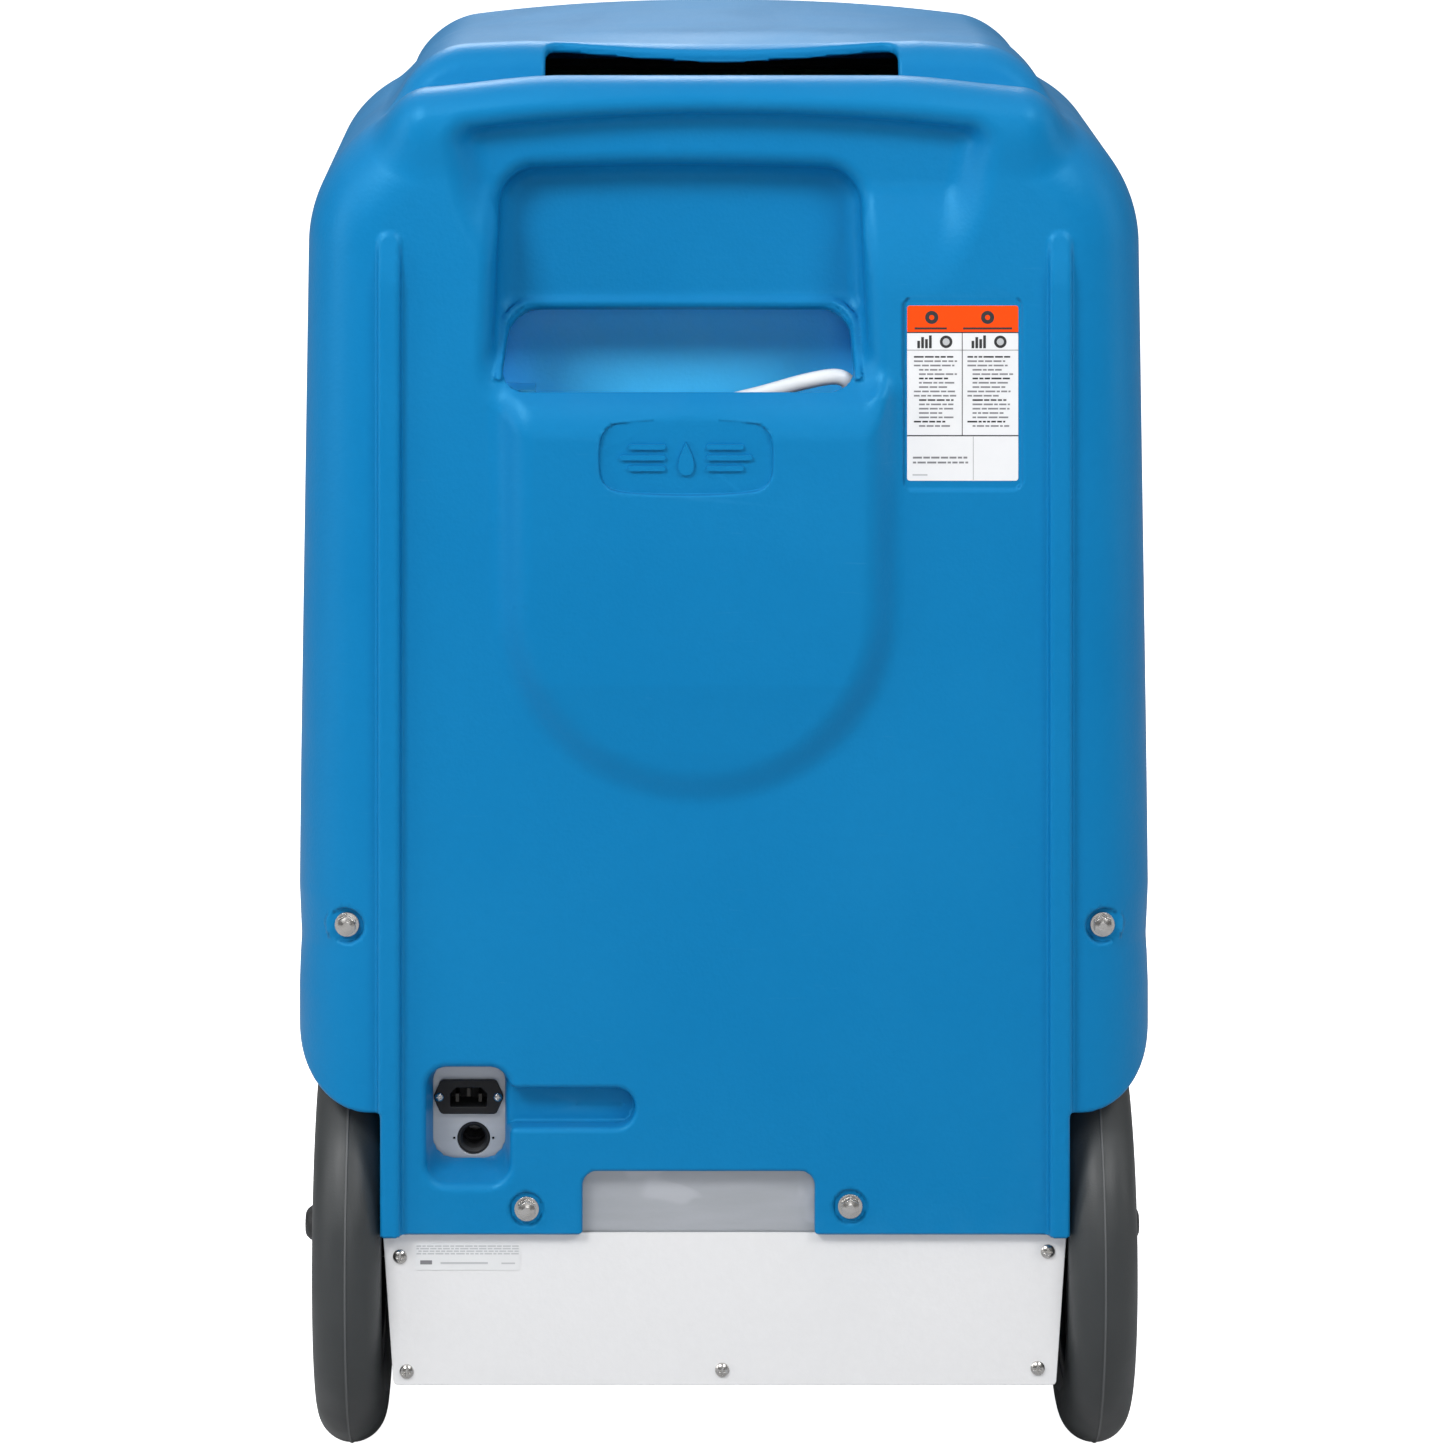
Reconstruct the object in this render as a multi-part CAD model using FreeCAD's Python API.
"""Portable refrigerant dehumidifier for water-damage drying, as an assembly of separate pieces.

Millimetres, +Z up, X across the machine, Y along its depth: the operator's front is at -Y
and the two big wheels are at the +Y rear. The origin is the centre of the footprint at floor
level. Each piece is written to its own STEP file under parts/.
"""
import FreeCAD, Part
import math
import os

Vector = FreeCAD.Vector
os.makedirs("parts", exist_ok=True)

# ------------------------------------------------------------------ driving dimensions
SIDES = (-1, 1)         # -X side, +X side
HALF_WIDTH = 254.0
HEIGHT = 856.0
REAR_Y = 242.0          # crest of the two vertical ribs
BODY_REAR_Y = REAR_Y - 5.0   # rear face of the housing's body
FRONT_Y = -254.0        # front plane of the housing
WALL = 5.0              # housing wall
SHOULDER_R = 80.0       # rounding of the upper side corners, seen from the rear
SHOULDER_TOP = 826.0
HUMP_HALF_WIDTH = 197.0      # raised deck
DECK_REAR = REAR_Y - 58.0
SKIRT_Z = 225.0         # underside of the fenders over the wheels
APRON_Z = 153.5         # lower edge of the housing between the wheels
APRON_HALF_WIDTH = 201.0
FRONT_Z = 60.0          # lower edge of the housing at the front
BLANK_Z = FRONT_Z - 20  # the housing starts as a blank reaching down to here
WELL_FRONT = -16.0      # front end of the wheel arch
WHEEL_R = 127.0         # 10 inch wheel; its centre is this high too
WHEEL_WIDTH = 41.0
WHEEL_X = 223.5
WHEEL_Y = 127.0
AXLE_R = 8.0
RUNNING_GAP = 0.05      # radial clearance in the wheel bush
DRAIN_X, DRAIN_Z = 149.0, 203.0
DRAIN_HOLE_R = 9.8
FAN_Y, FAN_Z = 5.0, 505.0
COLLAR_R = 125.0        # outlet collar's outside radius, for 250 mm duct
COLLAR_X0, COLLAR_X1 = 222.0, 250.0
OUTLET_RECESS_R = 142.0
INTAKE_HALF_WIDTH, INTAKE_Z0, INTAKE_Z1 = 168.0, 330.0, 664.0
PANEL_TOP = Vector(0, -92.0, 851.0)      # upper end of the sloped control face
PANEL_BOTTOM = Vector(0, -240.0, 703.0)  # its lower end
PANEL_DOWN = (PANEL_BOTTOM - PANEL_TOP).normalize()
PANEL_NORMAL = Vector(0, PANEL_DOWN.z, -PANEL_DOWN.y)    # points out of the machine
BASE_BOLTS = ((117, 168.5), (-74, 170))  # (x, z) of the bolts above the base
BASE_BOLT_SEAT = REAR_Y - 7.4
SIDE_BOLT_X, SIDE_BOLT_Z = 223.4, 335
SIDE_BOLT_SEAT = REAR_Y - 13
BOLT_HOLE_R = 3.3
POCKET_X, POCKET_Z = 15.0, 526.0         # centre of the hose pocket's round lower end


# ------------------------------------------------------------------ outlines and solids
def unit(start, end):
    """Unit 2D direction from start to end."""
    across, up = end[0] - start[0], end[1] - start[1]
    length = math.hypot(across, up)
    return across / length, up / length


def along(point, direction, distance):
    return point[0] + direction[0] * distance, point[1] + direction[1] * distance


def round_corner(before, corner, after):
    """Start, middle and end of the arc at a corner; a sharp corner has no middle."""
    point = corner[:2]
    radius = corner[2] if len(corner) > 2 else 0.0
    if radius <= 0:
        return point, None, point
    back, ahead = unit(point, before), unit(point, after)
    cosine = max(-1, min(1, back[0] * ahead[0] + back[1] * ahead[1]))
    half = math.acos(cosine) / 2
    trim = radius / math.tan(half)
    bisector = unit((0, 0), (back[0] + ahead[0], back[1] + ahead[1]))
    middle = along(point, bisector, radius / math.sin(half) - radius)
    return along(point, back, trim), middle, along(point, ahead, trim)


def face(outline, place):
    """Face inside corners (u, v) or (u, v, radius); place(u, v) puts a point in space."""
    count = len(outline)
    corners = [round_corner(outline[i - 1], outline[i], outline[(i + 1) % count])
               for i in range(count)]
    edges = []
    for i, (start, middle, end) in enumerate(corners):
        if middle:
            edges.append(Part.Arc(place(*start), place(*middle), place(*end)).toShape())
        following = corners[(i + 1) % count][0]
        if math.hypot(following[0] - end[0], following[1] - end[1]) > 1e-6:
            edges.append(Part.makeLine(place(*end), place(*following)))
    return Part.Face(Part.Wire(Part.__sortEdges__(edges)))


def face_y(outline, y):
    return face(outline, lambda x, z: Vector(x, y, z))


def prism_y(outline, y0, y1):
    """(X, Z) outline run along Y."""
    return face_y(outline, y0).extrude(Vector(0, y1 - y0, 0))


def prism_x(outline, x0, x1):
    """(Y, Z) outline run along X."""
    return face(outline, lambda y, z: Vector(x0, y, z)).extrude(Vector(x1 - x0, 0, 0))


def prism_z(outline, z0, z1):
    """(X, Y) outline run along Z."""
    return face(outline, lambda x, y: Vector(x, y, z0)).extrude(Vector(0, 0, z1 - z0))


def loft_y(outline0, y0, outline1, y1):
    """Ruled solid between two (X, Z) outlines."""
    wires = [face_y(outline0, y0).OuterWire, face_y(outline1, y1).OuterWire]
    return Part.makeLoft(wires, True, True)


def rect(u0, v0, u1, v1, radius=0.0):
    return [(u0, v0, radius), (u1, v0, radius), (u1, v1, radius), (u0, v1, radius)]


def box(x0, y0, z0, x1, y1, z1):
    return Part.makeBox(x1 - x0, y1 - y0, z1 - z0, Vector(x0, y0, z0))


def span(side, inboard, outboard):
    """The two X limits, in rising order, of something on one side of the machine."""
    return sorted((side * inboard, side * outboard))


def side_box(side, inboard, outboard, y0, z0, y1, z1):
    x0, x1 = span(side, inboard, outboard)
    return box(x0, y0, z0, x1, y1, z1)


def cyl_x(x0, x1, y, z, radius):
    return Part.makeCylinder(radius, x1 - x0, Vector(x0, y, z), Vector(1, 0, 0))


def cyl_y(x, y0, y1, z, radius):
    return Part.makeCylinder(radius, y1 - y0, Vector(x, y0, z), Vector(0, 1, 0))


def cyl_z(x, y, z0, z1, radius):
    return Part.makeCylinder(radius, z1 - z0, Vector(x, y, z0), Vector(0, 0, 1))


def fuse(shapes):
    out = shapes[0]
    if len(shapes) > 1:
        out = out.fuse(shapes[1:])
    return out.removeSplitter()


def revolve_x(profile, y=FAN_Y, z=FAN_Z):
    """(x, radius) outline turned about the X-parallel line through (y, z)."""
    section = face(profile, lambda x, radius: Vector(x, y, z + radius))
    return section.revolve(Vector(0, y, z), Vector(1, 0, 0), 360)


def revolve_z(profile, x, y):
    """(radius, z) outline turned about the vertical through (x, y)."""
    section = face(profile, lambda radius, z: Vector(x + radius, y, z))
    return section.revolve(Vector(x, y, 0), Vector(0, 0, 1), 360)


def pipe(points, radius, bend):
    """A round rod along a polyline whose corners are rounded by bend."""
    points = [Vector(*point) for point in points]
    edges = []
    start = points[0]
    for before, corner, after in zip(points, points[1:], points[2:]):
        back = (before - corner).normalize()
        ahead = (after - corner).normalize()
        half = back.getAngle(ahead) / 2
        trim = bend / math.tan(half)
        arc_start, arc_end = corner + back * trim, corner + ahead * trim
        bisector = (back + ahead).normalize()
        middle = corner + bisector * (bend / math.sin(half) - bend)
        if (arc_start - start).Length > 1e-6:
            edges.append(Part.makeLine(start, arc_start))
        edges.append(Part.Arc(arc_start, middle, arc_end).toShape())
        start = arc_end
    edges.append(Part.makeLine(start, points[-1]))
    tangent = edges[0].tangentAt(edges[0].FirstParameter)
    section = Part.Wire([Part.makeCircle(radius, points[0], tangent)])
    return Part.Wire(edges).makePipeShell([section], True, False, 2)


def cable(points, radius):
    """A round rod along a smooth curve through the points."""
    spine = Part.BSplineCurve()
    spine.interpolate(points)
    tangent = spine.tangent(spine.FirstParameter)[0]
    section = Part.Wire([Part.makeCircle(radius, points[0], tangent)])
    return Part.Wire([spine.toShape()]).makePipeShell([section], True, True)


def hex_bolt(x, y, z):
    """Flange hex bolt facing +Y, its seat at y."""
    flats, flange, head_height = 10.0, 1.4, 5.6
    top = y + flange + head_height
    corner_r = flats / math.sqrt(3)
    angles = [math.radians(60 * k + 30) for k in range(6)]
    hexagon = [(x + corner_r * math.cos(a), z + corner_r * math.sin(a)) for a in angles]
    head = prism_y(hexagon, y + flange, top)
    dome = Part.makeSphere(flats * 1.05, Vector(x, top - flats * 1.02, z))
    head = head.common(dome.fuse(cyl_y(x, y, y + head_height + 0.2, z, flats * 0.62)))
    return fuse([head, cyl_y(x, y, y + flange, z, flats * 0.72), cyl_y(x, y - 13.0, y, z, 3.0)])


def pan_screw(x, y, z, radius, shank_r, shank):
    """Cross-recess pan screw facing +Y, its seat at y."""
    height = radius * 0.62
    ball_r = radius * 1.28
    head = cyl_y(x, y, y + height, z, radius)
    head = head.common(Part.makeSphere(ball_r, Vector(x, y - (ball_r - height), z)))
    screw = fuse([head, cyl_y(x, y - shank, y, z, shank_r)])
    long, thin = radius * 0.55, radius * 0.13
    y0, y1 = y + height * 0.45, y + height + 1
    return screw.cut([box(x - long, y0, z - thin, x + long, y1, z + thin),
                      box(x - thin, y0, z - long, x + thin, y1, z + long)])


def on_panel(x, down, out=0.0):
    """Point on the control face: down its slope from PANEL_TOP and out along its normal."""
    return PANEL_TOP + Vector(x, 0, 0) + PANEL_DOWN * down + PANEL_NORMAL * out


def panel_slab(outline, out0, out1):
    """(x, down) outline run along the control face's normal."""
    section = face(outline, lambda x, down: on_panel(x, down, out0))
    return section.extrude(PANEL_NORMAL * (out1 - out0))


def panel_cyl(x, down, out0, out1, radius):
    return Part.makeCylinder(radius, out1 - out0, on_panel(x, down, out0), PANEL_NORMAL)


def save(name, shape):
    if isinstance(shape, list):
        shape = Part.makeCompound(shape)
    shape.exportStep("parts/%s.step" % name)


def piece(build):
    """Decorator: build the piece at once and save it under its function's name."""
    save(build.__name__, build())
    return build


# ------------------------------------------------------------------ housing forms
# Each form shrinks by inset (a recess grows), so that the wall lies between two of them.
def body(inset):
    bottom, top = HALF_WIDTH - inset, 248.0 - inset
    flank_z = 360.0      # the flanks lean inwards above here
    shoulder_z, shoulder_r = SHOULDER_TOP - inset, SHOULDER_R - inset
    rear_view = [(-bottom, BLANK_Z), (bottom, BLANK_Z), (bottom, flank_z),
                 (top, shoulder_z, shoulder_r), (-top, shoulder_z, shoulder_r),
                 (-bottom, flank_z)]
    rear, deck_z = BODY_REAR_Y - inset, SHOULDER_TOP + 3 - inset
    side_view = [(rear, BLANK_Z), (rear, deck_z, 24.0 - inset / 2), (-66.0, deck_z, 30),
                 (FRONT_Y + inset, 684.0 - inset * 0.6, 26), (FRONT_Y + inset, BLANK_Z)]
    over = 0.6           # the plan stands this far outside the two views
    plan_x, plan_front = bottom + over, FRONT_Y + inset - over
    plan = [(-plan_x, plan_front, 46 - inset), (plan_x, plan_front, 46 - inset),
            (plan_x, rear + over, 48 - inset), (-plan_x, rear + over, 48 - inset)]
    views = prism_y(rear_view, FRONT_Y - 10, REAR_Y + 10).common(
        prism_x(side_view, -HALF_WIDTH - 10, HALF_WIDTH + 10))
    return views.common(prism_z(plan, BLANK_Z, HEIGHT + 20))


def hump(inset):
    """The raised deck with the sloped control face at its front."""
    half, edge_z, top = HUMP_HALF_WIDTH - inset, 836.0 - inset * 0.8, HEIGHT - inset + 0.5
    rear_view = [(-half, 700), (half, 700), (half, edge_z, 16.0), (158.0, top, 70.0),
                 (-158.0, top, 70.0), (-half, edge_z, 16.0)]
    rear, front = DECK_REAR - inset, PANEL_BOTTOM.y + inset * 0.7
    side_view = [(rear, 690), (rear, HEIGHT - inset, 18.0),
                 (PANEL_TOP.y + HEIGHT - PANEL_TOP.z, HEIGHT - inset, 26.0),
                 (front, PANEL_BOTTOM.z - inset * 0.7, 20.0), (front, 690)]
    return prism_y(rear_view, FRONT_Y, REAR_Y).common(
        prism_x(side_view, -HUMP_HALF_WIDTH - 5, HUMP_HALF_WIDTH + 5))


def handle_bar():
    """Horizontal bar with ball ends across the top of the rear."""
    radius, centre_x, axis_z = 22.0, 178.0, 814
    axis_y = REAR_Y - radius
    end_x, diagonal = centre_x + radius, radius * math.sqrt(0.5)

    def at(x, up):
        return Vector(x, axis_y, axis_z + up)

    edges = [Part.makeLine(at(-end_x, 0), at(end_x, 0)),
             Part.Arc(at(end_x, 0), at(centre_x + diagonal, diagonal),
                      at(centre_x, radius)).toShape(),
             Part.makeLine(at(centre_x, radius), at(-centre_x, radius)),
             Part.Arc(at(-centre_x, radius), at(-centre_x - diagonal, diagonal),
                      at(-end_x, 0)).toShape()]
    return Part.Face(Part.Wire(edges)).revolve(at(0, 0), Vector(1, 0, 0), 360)


def rear_rib(side):
    x0, x1 = span(side, 189, 206)
    return prism_y(rect(x0, APRON_Z, x1, 744, 4), REAR_Y - 30, REAR_Y)


def pocket_outline(radius, top, top_r=0):
    """(X, Z) U shape about the hose pocket's centre."""
    x0, x1 = POCKET_X - radius, POCKET_X + radius
    bottom = POCKET_Z - radius
    return [(x0, top, top_r), (x1, top, top_r),
            (x1, bottom, radius - 0.5), (x0, bottom, radius - 0.5)]


def pouch(inset):
    """The outward bulge that carries the coiled hose."""
    crest = REAR_Y + 9.5 - inset
    bulge = prism_y(pocket_outline(109.0 - inset, 650 - inset, 3),
                    REAR_Y - 40, REAR_Y + 10 - inset)
    wedge = [(REAR_Y - 45, 380), (REAR_Y - 3 - inset, 400), (crest, 470), (crest, 655),
             (REAR_Y - 45, 655)]
    return bulge.common(prism_x(wedge, POCKET_X - 130, POCKET_X + 130))


def grip_recess(inset):
    """The hand recess under the bar."""
    half_top, half_bottom, top = 158 + inset, 143 + inset, 799 + inset
    profile = [(REAR_Y + 20, top), (REAR_Y - 10, top), (REAR_Y - 44 - inset, top - 8),
               (REAR_Y - 42 - inset, 776), (REAR_Y - 4 - inset, 722 - inset),
               (REAR_Y + 20, 700 - inset)]
    rear_view = [(-half_bottom, 690), (half_bottom, 690),
                 (half_top, top + 10), (-half_top, top + 10)]
    return prism_x(profile, -half_top - 5, half_top + 5).common(
        prism_y(rear_view, REAR_Y - 80, REAR_Y + 30))


def deep_recess(inset):
    """The squared recess above the pouch, drafted outwards."""
    z0 = 640 - inset
    draft = loft_y(rect(-81 - inset, z0, 132 + inset, 779 + inset, 14), REAR_Y - 46 - inset,
                   rect(-104 - inset, z0, 156 + inset, 798 + inset, 20), REAR_Y + 20)
    keep_x, keep_y = 170 + 2 * inset, REAR_Y - 120 - 2 * inset
    return draft.common(prism_z(rect(-keep_x, keep_y, keep_x, REAR_Y + 40),
                                651 - inset, 820 + 2 * inset))


# ------------------------------------------------------------------ housing shell
CLEAR_X = 300            # beyond either side of the machine


def underside_cutters():
    """The wheel arches and the open underside."""
    cutters = []
    for side in SIDES:
        for inboard, rear in ((APRON_HALF_WIDTH, REAR_Y + 40), (190, BODY_REAR_Y - WALL)):
            cutters.append(side_box(side, inboard, CLEAR_X, WELL_FRONT, -10, rear, SKIRT_Z))
    cutters.append(box(-CLEAR_X, -300, -10, CLEAR_X, 300, FRONT_Z))
    cutters.append(box(-APRON_HALF_WIDTH - 1, WELL_FRONT, -10,
                       APRON_HALF_WIDTH + 1, REAR_Y + 40, APRON_Z))
    return cutters


def bay_cutter():
    """The inlet and drain bay."""
    return loft_y(rect(130.5, 191, 173.5, 250, 9), REAR_Y - 31.5,
                  rect(124.5, 181, 178, 254, 14), REAR_Y + 6)


def intake_outline(inset, corner_r):
    return rect(-INTAKE_HALF_WIDTH + inset, INTAKE_Z0 + inset,
                INTAKE_HALF_WIDTH - inset, INTAKE_Z1 - inset, corner_r)


def opening_cutters():
    cutters = [
        # storage slot in the top
        prism_z(rect(-105, REAR_Y - 76, 107, REAR_Y - 48, 6), 806, 880),
        # hose window in the rear, and its lower end inside the pouch
        prism_y([(-78, 651), (133, 651), (127, 695, 13), (-74, 695, 13)],
                REAR_Y - 70, REAR_Y + 40),
        prism_y([(-78, 651), (133, 651), (133, 640), (-78, 640)], REAR_Y - 70, REAR_Y - 4),
        prism_y(intake_outline(0, 20), -300, -200),
        # control face
        panel_slab(rect(-124, 50, 124, 172, 10), -30, 30),
        # process-air outlet in the +X side
        cyl_x(200, 300, FAN_Y, FAN_Z, OUTLET_RECESS_R),
        bay_cutter(),
        # label seat
        prism_y(rect(-175, 594, -106, 706, 4), REAR_Y - 6.5, REAR_Y + 10),
        # notch in the apron's lower edge
        prism_y([(-53, 100), (84, 100), (84, 190.6, 12), (-53, 190.6, 12)],
                REAR_Y - 60, REAR_Y + 20)]
    for x, z in BASE_BOLTS:
        cutters.append(cyl_y(x, BASE_BOLT_SEAT, REAR_Y + 20, z, 9.5))
        cutters.append(cyl_y(x, REAR_Y - 20, REAR_Y + 20, z, BOLT_HOLE_R))
    for side in SIDES:
        x = side * SIDE_BOLT_X
        cutters.append(cyl_y(x, SIDE_BOLT_SEAT, REAR_Y + 20, SIDE_BOLT_Z, 11))
        cutters.append(cyl_y(x, REAR_Y - 40, REAR_Y + 20, SIDE_BOLT_Z, BOLT_HOLE_R))
    # shallow seat on the pouch's face
    cutters.append(prism_y(rect(-26, 593, 72, 636, 14), REAR_Y + 8.1, REAR_Y + 20))
    # rounding of the fenders' lower outboard corners
    round_x, round_r = 209.5, 45
    for side in SIDES:
        corner = side_box(side, round_x, CLEAR_X, WELL_FRONT, SKIRT_Z - 5,
                          REAR_Y + 40, SKIRT_Z + round_r)
        cutters.append(corner.cut(cyl_y(side * round_x, WELL_FRONT - 5, REAR_Y + 50,
                                        SKIRT_Z + round_r, round_r)))
    return cutters


def wheel_well(side):
    """Inboard cheek, roof and front wall of a wheel well."""
    inboard, outboard, top, rear = 196, 253, 270, REAR_Y - 9
    front = WELL_FRONT - 5
    well = fuse([side_box(side, inboard, APRON_HALF_WIDTH, front, APRON_Z, rear, top),
                 side_box(side, inboard, outboard, front, top - 5, rear, top),
                 side_box(side, inboard, outboard, front, FRONT_Z, WELL_FRONT, top)])
    return well.common(body(2.0))


def thickenings():
    """The bay's tunnel, the outlet's tub, the wheel wells and the side bolts' bosses."""
    tunnel = loft_y(rect(126.5, 187, 177.5, 254, 12), REAR_Y - 31,
                    rect(121.5, 178, 181, 257, 16), REAR_Y - 6.0)
    tub = cyl_x(217, 252, FAN_Y, FAN_Z, OUTLET_RECESS_R + 4)
    tub = tub.cut(cyl_x(COLLAR_X0, 260, FAN_Y, FAN_Z, OUTLET_RECESS_R))
    tub = tub.cut(cyl_x(200, 260, FAN_Y, FAN_Z, 117))
    adds = [tunnel.cut([bay_cutter()]), tub.common(body(0.6))]
    adds += [wheel_well(side) for side in SIDES]
    for side in SIDES:
        x = side * SIDE_BOLT_X
        boss = cyl_y(x, REAR_Y - 20, SIDE_BOLT_SEAT, SIDE_BOLT_Z, 13)
        adds.append(boss.cut(cyl_y(x, REAR_Y - 40, REAR_Y, SIDE_BOLT_Z, BOLT_HOLE_R)))
    return adds


def groove(x1):
    """The hose groove beside the bay, from its round -X end to x1."""
    return prism_y(rect(53, 216.5, x1, 239.5, 11.4), REAR_Y - 13.5, REAR_Y + 10)


@piece
def housing_shell():
    ribs = [rear_rib(side) for side in SIDES]
    outer = fuse([body(0), hump(0), handle_bar()] + ribs + [pouch(0)])
    inner = fuse([body(WALL), hump(WALL), pouch(WALL)])
    outer = outer.cut([grip_recess(0), deep_recess(0)] + underside_cutters())
    inner = inner.cut([grip_recess(WALL), deep_recess(WALL)])
    shell = outer.cut([inner]).cut(opening_cutters())
    shell = fuse([shell] + thickenings()).cut([groove(131)])
    trough = prism_y(rect(50, 213, 124, 243, 14), REAR_Y - 16.5, REAR_Y - 10.0)
    return fuse([shell, trough.cut([groove(134)])])


# ------------------------------------------------------------------ storage and labels
COIL_STEPS = 14          # curve points in one turn of a coiled hose or cord


@piece
def hose_pocket_liner():
    radius, wall = 101.0, 3
    outer = fuse([prism_y(pocket_outline(radius, 645.5), 150, 231),
                  box(-84, 150, 640, 139, 190.6, 702)])
    pocket = prism_y(pocket_outline(radius - wall, 700), 153, 260)
    inner = fuse([pocket.common(box(-200, 0, 0, 200, 300, 646)),
                  box(-81, 153, 643, 136, 187.6, 699)])
    mouth = prism_y([(-79, 640), (134, 640), (128, 696, 12), (-75, 696, 12)], 180, 240)
    return outer.cut([fuse([inner, mouth])])


@piece
def drain_hose():
    steps = 5.25 * COIL_STEPS
    ease_steps = 15      # the last points ease inwards and up
    points = []
    for i in range(int(steps) + 1):
        angle = 2 * math.pi * i / COIL_STEPS + 0.4
        ease = max(0.0, (i - (steps - ease_steps)) / ease_steps)
        ease = ease * ease * (3 - 2 * ease)
        points.append(Vector(POCKET_X + 86 * math.cos(angle) - 12 * ease,
                             163 + 11.2 * i / COIL_STEPS,
                             532 + 88 * math.sin(angle) + 38 * ease))
    return cable(points, 4.8)


@piece
def storage_well_liner():
    return prism_z(rect(-116, 24, 116, 186, 12), 708, 815).cut(
        [prism_z(rect(-113, 27, 113, 183, 9), 711, 830)])


@piece
def power_cord():
    points = []
    for i in range(8 * COIL_STEPS + 1):
        angle = 2 * math.pi * i / COIL_STEPS
        wobble = 1.0 - 0.05 * math.cos(i * 0.9)
        points.append(Vector(98 * wobble * math.cos(angle),
                             105 + 66 * wobble * math.sin(angle),
                             717 + 11.0 * i / COIL_STEPS))
    return cable(points, 4.3)


save("instruction_label", box(-173.2, 235.5, 598.4, -107.6, 235.8, 701.8))
save("rating_plate", box(121, 231.0, 131, 183, 231.3, 146))

# ------------------------------------------------------------------ base, panels and feet
SHEET = 1.5              # thickness of the pan and rear panel
BASE_HALF_WIDTH = 196.0
PANEL_FACE_Y = 231       # rear face of the base panel
PANEL_SCREWS = ((192, 139), (-191, 142), (188, 71), (1.5, 72), (-185, 73))   # (x, z)


@piece
def base_pan():
    half, front, rear, bottom = 195, -240, 226, 50
    pan = box(-half, front, bottom, half, rear, 152).cut(
        box(-half + SHEET, front + SHEET, bottom + SHEET, half - SHEET, rear - SHEET, 153))
    return pan.cut(cyl_x(-200, 200, WHEEL_Y, WHEEL_R, AXLE_R + 0.02))


@piece
def rear_base_panel():
    plate = prism_y([(-BASE_HALF_WIDTH, 46, 3), (BASE_HALF_WIDTH, 46, 3),
                     (202, 153, 2), (-202, 153, 2)], PANEL_FACE_Y - SHEET, PANEL_FACE_Y)
    lip_x = BASE_HALF_WIDTH - 0.2
    lip = prism_y(rect(-lip_x, 46, lip_x, 46 + SHEET), 214, 230)
    return fuse([plate, lip]).cut([cyl_y(x, 225, 235, z, 2.15) for x, z in PANEL_SCREWS])


@piece
def base_panel_screws():
    return [pan_screw(x, PANEL_FACE_Y, z, 4.2, 2.0, 2.6) for x, z in PANEL_SCREWS]


@piece
def rear_frame_plate():
    holes = [cyl_y(x, 220, 240, z, BOLT_HOLE_R) for x, z in BASE_BOLTS]
    return prism_y(rect(-190, 140, 190, 206, 4), 226.2, 228).cut(
        [box(118, 220, 174, 200, 240, 210)] + holes)


@piece
def frame_uprights():
    uprights = []
    for side in SIDES:
        upright = fuse([side_box(side, 190.2, 193.2, 190, 60, 221.8, 352),
                        side_box(side, 190.2, 230, 219, 318, 221.8, 352)])
        hole = cyl_y(side * SIDE_BOLT_X, 210, 230, SIDE_BOLT_Z, BOLT_HOLE_R)
        uprights.append(upright.cut(hole))
    return uprights


@piece
def shell_bolts():
    bolts = [hex_bolt(x, BASE_BOLT_SEAT, z) for x, z in BASE_BOLTS]
    return bolts + [hex_bolt(s * SIDE_BOLT_X, SIDE_BOLT_SEAT, SIDE_BOLT_Z) for s in SIDES]


@piece
def front_feet():
    profile = [(0, 0), (18, 0, 2.5), (23, 49.9, 1), (0, 49.9)]
    return [revolve_z(profile, side * 150, -200) for side in SIDES]


# ------------------------------------------------------------------ inlet and drain bay
INLET_Z = 228
INLET_SCREW_X = (134.6, 169.4)


@piece
def inlet_plate():
    y0, y1 = 200, 215    # run of the cutters
    cutters = [prism_y(rect(138.5, 219.5, 165.5, 236.5, 2), y0, y1),
               cyl_y(DRAIN_X, y0, y1, DRAIN_Z, DRAIN_HOLE_R)]
    cutters += [cyl_y(DRAIN_X + side * 11.6, y0, y1, DRAIN_Z, 0.8) for side in SIDES]
    cutters += [cyl_y(x, y0, y1, INLET_Z, 1.7) for x in INLET_SCREW_X]
    return prism_y(rect(124, 184, 178, 258, 4), 209.0, 210.5).cut(cutters)


@piece
def power_inlet():
    flange = [(131.0, 228, 3), (135.5, 218, 3), (168.5, 218, 3),
              (173.0, 228, 3), (168.5, 238, 3), (135.5, 238, 3)]
    cavity = [(141, 222.2, 1), (163, 222.2, 1), (163, 230.2, 0.5),
              (159.4, 233.8, 0.5), (144.6, 233.8, 0.5), (141, 230.2, 0.5)]
    socket = fuse([prism_y(flange, 210.52, 213.0),
                   prism_y(rect(138.8, 219.8, 165.2, 236.2, 1.8), 186, 211)])
    return socket.cut([prism_y(cavity, 192, 220)]
                      + [cyl_y(x, 205, 220, INLET_Z, 1.7) for x in INLET_SCREW_X])


@piece
def inlet_pins():
    return [box(x - 1.0, 192.01, z - 2.4, x + 1.0, 208.5, z + 2.4)
            for x, z in ((145.2, 226.4), (152, 229.6), (158.8, 226.4))]


@piece
def inlet_screws():
    return [pan_screw(x, 213.0, INLET_Z, 2.7, 1.5, 8.0) for x in INLET_SCREW_X]


def drain_cyl(y0, y1, radius):
    return cyl_y(DRAIN_X, y0, y1, DRAIN_Z, radius)


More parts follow.
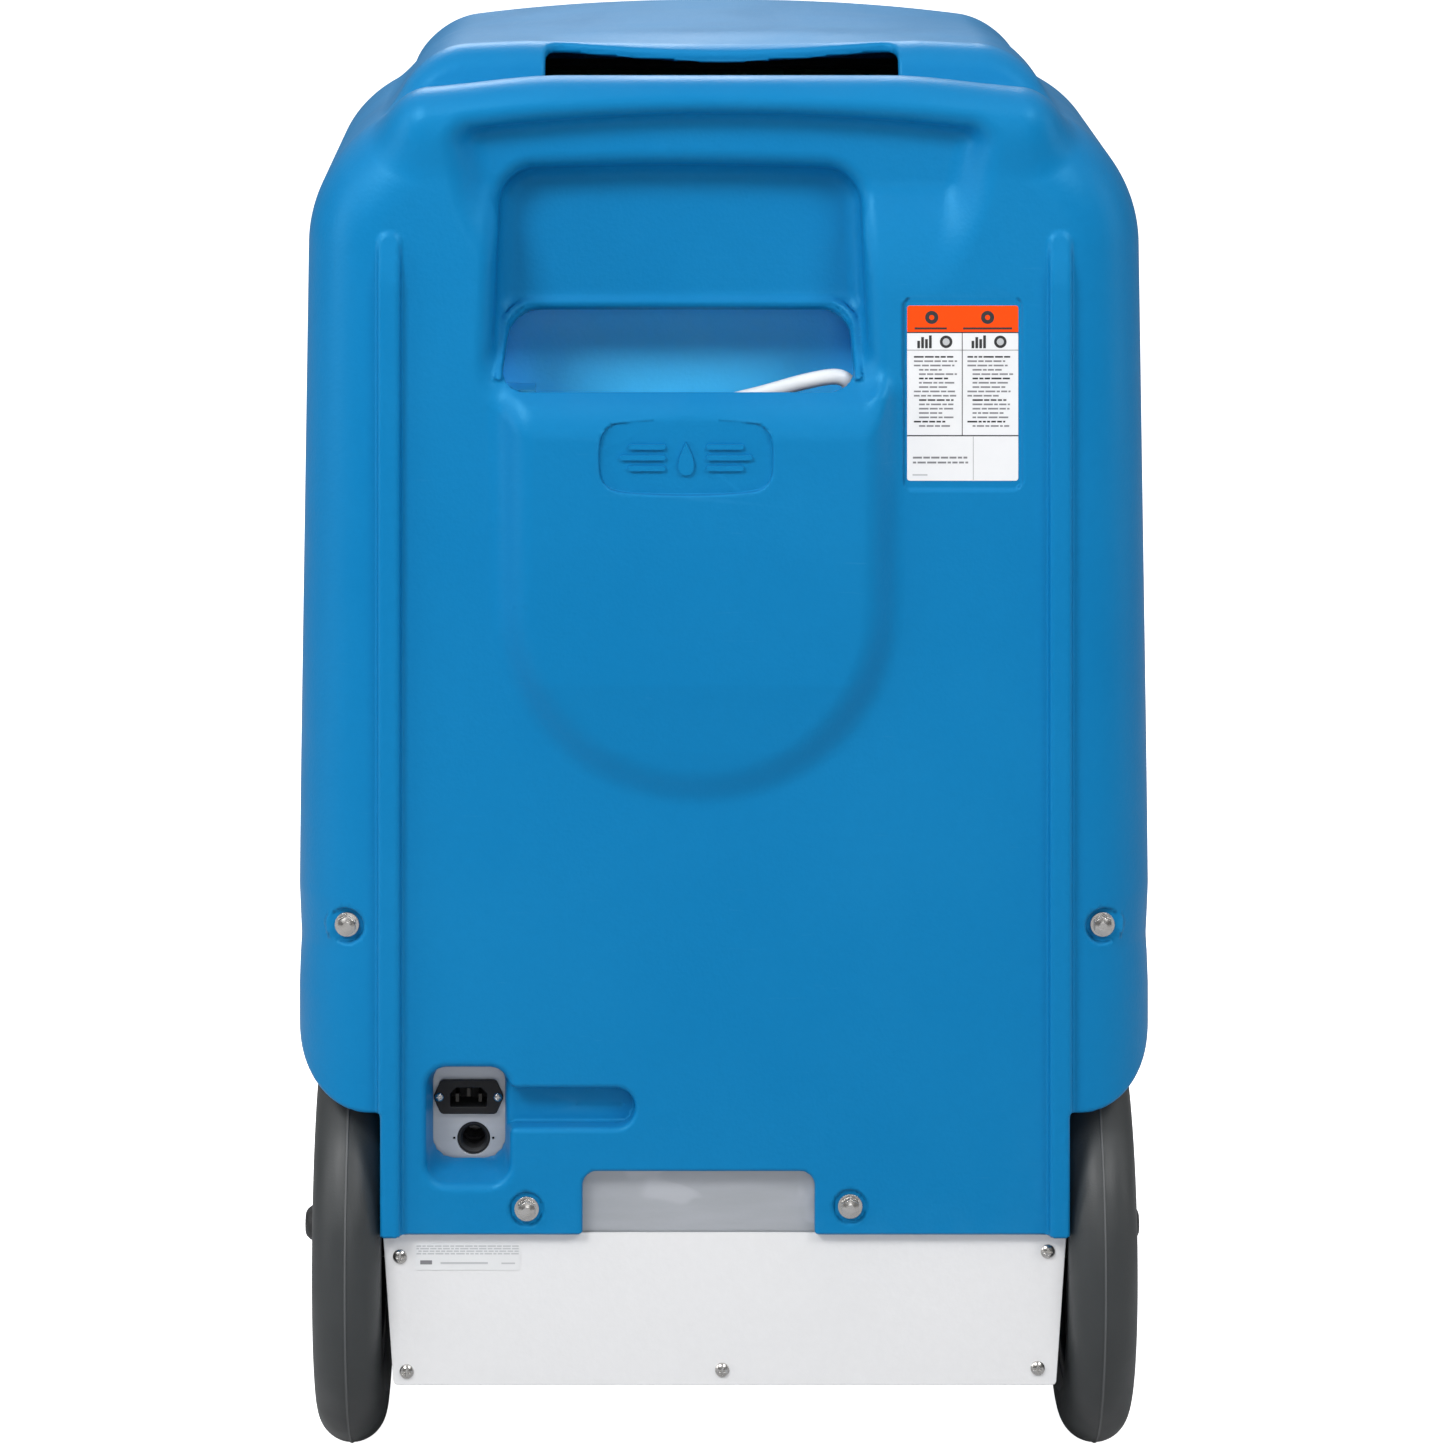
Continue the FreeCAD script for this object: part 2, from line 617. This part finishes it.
@piece
def drain_coupling():
    return fuse([drain_cyl(176, 208.9, 12.2), drain_cyl(170, 178, 6.9)]).cut(
        [drain_cyl(188, 212, 9.45), drain_cyl(165, 190, 6.5)])


@piece
def drain_release_collar():
    chamfer = Part.makeCone(6.8, 8.2, 1.4, Vector(DRAIN_X, 208.0, DRAIN_Z), Vector(0, 1, 0))
    return drain_cyl(193, 209.4, 9.4).cut(drain_cyl(190, 215, 6.8)).cut([chamfer])


# ------------------------------------------------------------------ wheels and axle
def turn_wheel(centre_x, profile):
    """Revolve (x from centre_x, radius) about the axle."""
    return revolve_x([(centre_x + corner[0], *corner[1:]) for corner in profile],
                     WHEEL_Y, WHEEL_R)


def tyre(centre_x):
    half, edge_r, seat_r = WHEEL_WIDTH / 2, 107, 93

    def at(x, radius):
        return Vector(centre_x + x, WHEEL_Y, WHEEL_R + radius)

    section = [(-half, edge_r), (-half, 97), (-half + 4, seat_r),
               (half - 4, seat_r), (half, 97), (half, edge_r)]
    edges = [Part.makeLine(at(*start), at(*end)) for start, end in zip(section, section[1:])]
    edges.append(Part.Arc(at(half, edge_r), at(0, WHEEL_R - 0.5), at(-half, edge_r)).toShape())
    tread = Part.Face(Part.Wire(edges)).revolve(at(0, 0), Vector(1, 0, 0), 360)
    ridge = turn_wheel(centre_x, [(-0.8, 120), (0.8, 120), (0.8, WHEEL_R, 0.4),
                                  (-0.8, WHEEL_R, 0.4)])
    return fuse([tread, ridge])


def rim(centre_x):
    disc = turn_wheel(centre_x, [
        (-18.6, 12.0), (18.6, 12.0), (18.6, 20.0, 2), (4, 21.5, 3), (3, 84.0, 3),
        (15.5, 86.5, 1.5), (16.2, 92.96, 0.6), (-16.2, 92.96, 0.6), (-15.5, 86.5, 1.5),
        (-3, 84.0, 3), (-4, 21.5, 3), (-18.6, 20.0, 2)])
    spoke = box(centre_x - 12, WHEEL_Y - 2.2, WHEEL_R + 18.5,
                centre_x + 12, WHEEL_Y + 2.2, WHEEL_R + 88)
    axis = Vector(centre_x, WHEEL_Y, WHEEL_R)
    return fuse([disc] + [spoke.rotated(axis, Vector(1, 0, 0), 45 * k + 22.5)
                          for k in range(8)])


def bush(centre_x):
    half, bore_r = 19.4, AXLE_R + RUNNING_GAP
    return turn_wheel(centre_x, [(-half, bore_r), (half, bore_r),
                                 (half, 11.97, 0.5), (-half, 11.97, 0.5)])


for hand, side in (("left", 1), ("right", -1)):
    save("tyre_" + hand, tyre(side * WHEEL_X))
    save("rim_" + hand, rim(side * WHEEL_X))
    save("bush_" + hand, bush(side * WHEEL_X))


@piece
def axle():
    rod = cyl_x(-249.5, 249.5, WHEEL_Y, WHEEL_R, AXLE_R)
    return fuse([rod, cyl_x(195.3, 203.6, WHEEL_Y, WHEEL_R, 11),
                 cyl_x(-203.6, -195.3, WHEEL_Y, WHEEL_R, 11)])


@piece
def axle_caps():
    caps = []
    for side in SIDES:
        cap = revolve_x([(side * 243.6, 0), (side * 243.6, 12, 0.6), (side * 247.5, 12, 1.5),
                         (side * 254.0, 7.5, 5.5), (side * 254.0, 0)], WHEEL_Y, WHEEL_R)
        x0, x1 = span(side, 240, 249.6)
        caps.append(cap.cut(cyl_x(x0, x1, WHEEL_Y, WHEEL_R, AXLE_R + 0.01)))
    return caps


# ------------------------------------------------------------------ refrigerant circuit
COMPRESSOR_X, COMPRESSOR_Y = -90.0, 40.0
ACCUMULATOR_X = 8.0
EVAPORATOR_Y, CONDENSER_Y = -180.0, -124.0
COIL_TUBE_R = 4.8
COIL_Z = [352.5 + 25.0 * i for i in range(12)]   # heights of the coil tube's passes
COIL_LOW, COIL_HIGH = COIL_Z[0], COIL_Z[-1]


def around_compressor(radius):
    """Three (x, y) points about the compressor's axis."""
    return [(COMPRESSOR_X + radius * math.cos(math.radians(angle)),
             COMPRESSOR_Y + radius * math.sin(math.radians(angle)))
            for angle in (90, 210, 330)]


MOUNTS = around_compressor(86)


@piece
def compressor():
    can = revolve_z([(0, 66), (62, 66), (62, 69.2), (70, 69.2, 5), (70, 292, 36), (0, 292)],
                    COMPRESSOR_X, COMPRESSOR_Y)
    foot = prism_z([(x, y, 20) for x, y in around_compressor(112)], 66, 69.2)
    return fuse([can, foot]).cut([cyl_z(x, y, 60, 75, 6.2) for x, y in MOUNTS])


@piece
def compressor_mounts():
    profile = [(0, 51.6), (13, 51.6, 1.5), (11, 65.9, 1), (6.1, 65.9), (6.1, 69.3),
               (10, 69.3, 1), (10, 74, 2), (0, 74)]
    return [revolve_z(profile, x, y) for x, y in MOUNTS]


@piece
def accumulator():
    return revolve_z([(0, 120), (26, 120, 14), (26, 270, 14), (0, 270)],
                     ACCUMULATOR_X, COMPRESSOR_Y)


def coil_tube(y):
    """Serpentine that starts and ends at the -X side."""
    turn_x, end_x = 153, -175
    points = [(end_x, y, COIL_LOW)]
    side = 1
    for low, high in zip(COIL_Z, COIL_Z[1:]):
        points += [(side * turn_x, y, low), (side * turn_x, y, high)]
        side = -side
    points.append((end_x, y, COIL_HIGH))
    return pipe(points, COIL_TUBE_R, 12.4)


def coil_fins(y):
    """Fin block, holed for the tube and slotted on both faces."""
    cutters = [cyl_x(-145, 145, y, z, COIL_TUBE_R + 0.03) for z in COIL_Z]
    for near, far in ((-20, -11), (11, 20)):
        cutters += [box(x, y + near, 339, x + 3.2, y + far, 641)
                    for x in range(-136, 136, 8)]
    return prism_y(rect(-140, 340, 140, 640), y - 19, y + 19).cut(cutters)


for name, y in (("evaporator", EVAPORATOR_Y), ("condenser", CONDENSER_Y)):
    save(name + "_tube", coil_tube(y))
    save(name + "_fins", coil_fins(y))


@piece
def coil_shroud():
    frame = prism_y(rect(-169.5, 325, 169.5, 656.5, 3), -214, -100).cut(
        prism_y(rect(-168, 326.5, 168, 655, 2), -220, -90))
    holes = [cyl_x(-175, -160, y, z, 5.4) for y in (EVAPORATOR_Y, CONDENSER_Y)
             for z in (COIL_LOW, COIL_HIGH)]
    return frame.cut(holes + [box(-40, -200, 320, 40, -150, 330)])


@piece
def condensate_tray():
    tray = prism_z(rect(-160, -212, 160, -104, 8), 303, 324.6).cut(
        prism_z(rect(-157.5, -209.5, 157.5, -106.5, 6), 305.5, 330))
    return fuse([tray, cyl_z(60, -116, 290, 304, 6)]).cut(cyl_z(60, -116, 280, 310, 4))


@piece
def refrigerant_lines():
    coil_end, riser_x = -175.3, -200
    acc_x, comp_y = ACCUMULATOR_X, COMPRESSOR_Y
    evap_y, cond_y = EVAPORATOR_Y, CONDENSER_Y
    suction = pipe([(coil_end, evap_y, COIL_LOW), (-222, evap_y, COIL_LOW),
                    (-222, 80, COIL_LOW), (acc_x, 80, COIL_LOW),
                    (acc_x, comp_y, COIL_LOW), (acc_x, comp_y, 270.2)], 5.5, 14)
    link = pipe([(acc_x, comp_y, 119.8), (acc_x, comp_y, 96), (-19.6, comp_y, 96)], 5.5, 12)
    discharge = pipe([(-120, comp_y, 292.3), (-120, comp_y, 325), (riser_x, comp_y, 325),
                      (riser_x, comp_y, COIL_HIGH), (riser_x, cond_y, COIL_HIGH),
                      (coil_end, cond_y, COIL_HIGH)], 4.5, 12)
    liquid = pipe([(coil_end, cond_y, COIL_LOW), (riser_x, cond_y, COIL_LOW),
                   (riser_x, cond_y, 430)], 4.0, 11)
    drier = revolve_z([(0, 418), (5, 418), (12, 430, 4), (12, 500, 4), (4, 514), (0, 514)],
                      riser_x, cond_y)
    capillary = pipe([(riser_x, cond_y, 510), (riser_x, cond_y, 560), (riser_x, evap_y, 560),
                      (riser_x, evap_y, COIL_HIGH), (coil_end, evap_y, COIL_HIGH)], 2.4, 11)
    return [suction, link, discharge, fuse([liquid, drier, capillary])]


# ------------------------------------------------------------------ condensate pump
PUMP_X, PUMP_Y = 112.0, 180.0
FLOAT_X, FLOAT_Y = 82, 205


@piece
def pump_reservoir():
    tank = box(40, 142, 55, 165, 222, 145).cut(box(42.5, 144.5, 57.5, 162.5, 219.5, 146))
    # what lies outside the rounded plan is trimmed off
    square = prism_z(rect(40, 142, 165, 222), 54, 146)
    return tank.cut(square.cut(prism_z(rect(40, 142, 165, 222, 8), 54, 146)))


@piece
def pump_motor():
    """Lid with the motor can on top and the float's stem below."""
    lid = fuse([prism_z(rect(38, 140, 167, 224, 9), 145.2, 148.2),
                cyl_z(PUMP_X, PUMP_Y, 148.2, 186, 20),
                cyl_z(FLOAT_X, FLOAT_Y, 58, 146, 3.0), cyl_z(FLOAT_X, FLOAT_Y, 58, 60, 7)])
    return lid.cut([cyl_z(PUMP_X, PUMP_Y, 140, 176, 2.05), cyl_z(60, 172, 140, 150, 4.0),
                    cyl_z(DRAIN_X, 158, 140, 150, 4.0)])


@piece
def pump_rotor():
    vane = box(PUMP_X + 3, PUMP_Y - 0.9, 66, PUMP_X + 14.5, PUMP_Y + 0.9, 74)
    vanes = [vane.rotated(Vector(PUMP_X, PUMP_Y, 0), Vector(0, 0, 1), 60 * k)
             for k in range(6)]
    return fuse([cyl_z(PUMP_X, PUMP_Y, 64, 66.5, 15), cyl_z(PUMP_X, PUMP_Y, 64, 175, 2.0),
                 cyl_z(PUMP_X, PUMP_Y, 64, 78, 5)] + vanes)


@piece
def pump_float():
    return revolve_z([(3.05, 90), (13, 90, 3), (13, 112, 3), (3.05, 112)], FLOAT_X, FLOAT_Y)


@piece
def drain_tubes():
    """From the tray down to the reservoir, and from there up to the drain coupling."""
    return [pipe([(60, -116, 289.8), (60, -116, 190), (60, 172, 190), (60, 172, 148.4)],
                 5.0, 18),
            pipe([(DRAIN_X, 158, 148.4), (DRAIN_X, 158, DRAIN_Z), (DRAIN_X, 169.8, DRAIN_Z)],
                 5.0, 8)]


# ------------------------------------------------------------------ fan and outlet
def fan_cyl(x0, x1, radius):
    return cyl_x(x0, x1, FAN_Y, FAN_Z, radius)


def about_fan(shape, x, angle):
    return shape.rotated(Vector(x, FAN_Y, FAN_Z), Vector(1, 0, 0), angle)


@piece
def fan_motor():
    can = revolve_x([(118, 0), (118, 30), (122, 42, 5), (186, 42, 3), (186, 0)])
    return can.cut([fan_cyl(140, 190, 5.05)])


@piece
def fan_ring():
    ring = revolve_x([(180, 112), (221.6, 112), (221.6, 116.6), (216.8, 116.6),
                      (216.8, 140), (214.4, 140), (214.4, 116.6), (180, 116.6)])
    hub = fan_cyl(176, 186, 46.5).cut([fan_cyl(170, 190, 42.05)])
    arm = box(180, FAN_Y - 4, FAN_Z + 44.5, 186, FAN_Y + 4, FAN_Z + 113)
    return fuse([ring, hub] + [about_fan(arm, 180, 90 * k + 45) for k in range(4)])


BLADE_X = 201
# (along the chord, across it), as fractions of the chord and of the thickness
BLADE_SECTION = ((-0.5, -0.15), (-0.2, 0.28), (0.15, 0.42),
                 (0.5, -0.1), (0.15, -0.38), (-0.2, -0.42))
# (radius, pitch angle, chord, thickness)
BLADE_STATIONS = ((30, 40, 34, 4.0), (72, 30, 48, 3.4), (114, 22, 58, 3.0))


def blade_section(radius, pitch, chord, thickness):
    cosine, sine = math.cos(math.radians(pitch)), math.sin(math.radians(pitch))
    points = []
    for chord_part, thickness_part in BLADE_SECTION:
        run, rise = chord_part * chord, thickness_part * thickness
        points.append(Vector(BLADE_X + run * sine + rise * cosine,
                             FAN_Y + run * cosine - rise * sine, FAN_Z + radius))
    return Part.makePolygon(points + [points[0]])


def blade(angle):
    solid = Part.makeLoft([blade_section(*row) for row in BLADE_STATIONS], True, False)
    return about_fan(solid, BLADE_X, angle).common(fan_cyl(188, 215, 109.5))


@piece
def fan_rotor():
    hub = revolve_x([(141, 0), (141, 5), (189, 5), (189, 36, 3),
                     (213, 36, 6), (216, 12, 3), (216, 0)])
    return fuse([hub] + [blade(360.0 / 7 * k) for k in range(7)])


@piece
def outlet_collar():
    back, flange = COLLAR_X0 + 0.1, COLLAR_X0 + 2.8
    collar = revolve_x([(back, 121), (COLLAR_X1, 121), (COLLAR_X1, COLLAR_R),
                        (flange, COLLAR_R), (flange, 140, 0.8), (back, 140)])
    screw_angles = (0.785, 2.356, 3.927, 5.498)      # radians
    return collar.cut([cyl_x(220, 230, FAN_Y + 133 * math.cos(angle),
                             FAN_Z + 133 * math.sin(angle), 2.2) for angle in screw_angles])


@piece
def outlet_guard():
    """Concentric wire rings and four crossing wires."""
    rings = [(radius, 1.3) for radius in (16, 32, 48, 64, 80, 96, 111)] + [(119.0, 1.8)]
    wires = [Part.makeTorus(radius, wire_r, Vector(238, FAN_Y, FAN_Z), Vector(1, 0, 0))
             for radius, wire_r in rings]
    cross_x = 238.6
    cross = cyl_z(cross_x, FAN_Y, FAN_Z - 119, FAN_Z + 119, 1.5)
    return fuse(wires + [about_fan(cross, cross_x, 45 * k) for k in range(4)])


# ------------------------------------------------------------------ front intake
@piece
def intake_grille():
    front, back = FRONT_Y + 0.6, -242.0
    bars = [prism_y(intake_outline(1, 19), front, back).cut(
        prism_y(intake_outline(14, 8), front - 5, back + 5))]
    for k in range(20):
        z = 351 + 15.3 * k
        bars.append(prism_x([(front + 0.6, z - 3.6), (front + 0.6, z - 1.4),
                             (back - 0.3, z + 4.6), (back - 0.3, z + 2.4)], -155, 155))
    for x in (-77, 0, 77):
        bars.append(box(x - 2.5, front + 1.5, 343, x + 2.5, back - 0.2, 651))
    bars.append(prism_y(rect(-30, 488, 30, 508, 8), front, back))    # grip plate
    return fuse(bars).cut([prism_y(rect(-24, 492.5, 24, 503.5, 5), front - 5, front + 6)])


@piece
def filter_frame():
    return prism_y(intake_outline(5, 3), -241.5, -218).cut(
        prism_y(intake_outline(18, 0), -250, -210))


@piece
def filter_media():
    """Pleated sheet."""
    pleats, half = 40, 149.9
    zigzag = [(-half + 2 * half * k / pleats, -239.5 if k % 2 else -222.5)
              for k in range(pleats + 1)]
    back = [(x, y + 1.6) for x, y in reversed(zigzag)]
    return prism_z(zigzag + back, 348.1, 645.9)


# ------------------------------------------------------------------ control panel
BUTTON_DOWN = 142.0      # distance of the button row down the slope
BUTTONS = (("power", -84.0), ("menu", -28.0), ("down", 28.0), ("up", 84.0))    # (name, x)


@piece
def control_panel():
    panel = fuse([panel_slab(rect(-131, 43, 131, 179, 12), 0.1, 3.0),
                  panel_slab(rect(-122.5, 51.5, 122.5, 170.5, 9), -10, 1.0)])
    cutters = [panel_slab(rect(-119.5, 54.5, 119.5, 167.5, 6), -11, -2.0),
               panel_slab(rect(-46, 64, 46, 108, 4), -5, 1.2),
               panel_slab(rect(-50, 60, 50, 112, 5), 1.2, 5)]
    return panel.cut(cutters + [panel_cyl(x, BUTTON_DOWN, -5, 5, 9.0) for _, x in BUTTONS])


save("display_window", panel_slab(rect(-49.8, 60.2, 49.8, 111.8, 4.8), 1.25, 3.0))


@piece
def control_board():
    """Circuit board with the display block and a switch under each button."""
    return fuse([panel_slab(rect(-116, 58, 116, 164, 2), -9.6, -8.0),
                 panel_slab(rect(-44, 66, 44, 106, 2), -8.1, 0.9)]
                + [panel_cyl(x, BUTTON_DOWN, -8.1, -4.6, 3.2) for _, x in BUTTONS])


def symbol_cutters(name, x):
    """The engraved symbol: three bars, a broken ring with a stroke, or a triangle."""
    row = BUTTON_DOWN
    if name == "menu":
        return [panel_slab(rect(x - 3.6, row - 3.0 + 2.4 * k, x + 3.6, row - 2.0 + 2.4 * k),
                           4.3, 6) for k in range(3)]
    if name == "power":
        ring = panel_cyl(x, row, 4.2, 6, 4.0).cut(panel_cyl(x, row, 4.0, 6.1, 3.0))
        ring = ring.cut(panel_slab(rect(x - 1.3, row - 6, x + 1.3, row), 4, 6.1))
        return [ring, panel_slab(rect(x - 0.5, row - 4.6, x + 0.5, row - 0.4), 4.2, 6)]
    way = 1 if name == "down" else -1
    base = row - 1.8 * way
    return [panel_slab([(x - 3.6, base), (x + 3.6, base), (x, row + 3.4 * way)], 4.3, 6)]


def button(name, x):
    top, dome_r = 5.0, 30
    flange = panel_cyl(x, BUTTON_DOWN, -3.4, -2.2, 10.5)
    cap = fuse([panel_cyl(x, BUTTON_DOWN, -2.5, top, 8.7), flange])
    dome = Part.makeSphere(dome_r, on_panel(x, BUTTON_DOWN, top - dome_r))
    return fuse([cap.common(dome), flange]).cut(symbol_cutters(name, x))


for name, x in BUTTONS:
    save("button_" + name, button(name, x))


# ------------------------------------------------------------------ electrics
@piece
def electrical_box():
    case = box(60, 135, 285, 178, 200, 405).cut(box(61.5, 130, 286.5, 176.5, 198.5, 403.5))
    cover = box(60, 133.4, 285, 178, 134.9, 405)
    return [case, cover.cut(cyl_y(74, 130, 140, 392, 4))]


@piece
def wiring_harness():
    # (points, bend radius): power inlet, control panel, fan motor, compressor
    runs = (([(152, 185.8, 228), (152, 172, 228), (152, 172, 284.8)], 9),
            ([(170, 160, 406.6), (180, 160, 430), (180, 160, 675), (180, -120, 675),
              (100, -150, 735), (100, -160, 752)], 10),
            ([(74, 133.2, 392), (74, 22, 392), (74, 22, 490), (117.8, 22, 490)], 14),
            ([(59.8, 165, 310), (-60, 165, 310), (-60, 165, 250), (-60, 106, 250)], 14))
    return [pipe(points, 3.0, bend) for points, bend in runs]
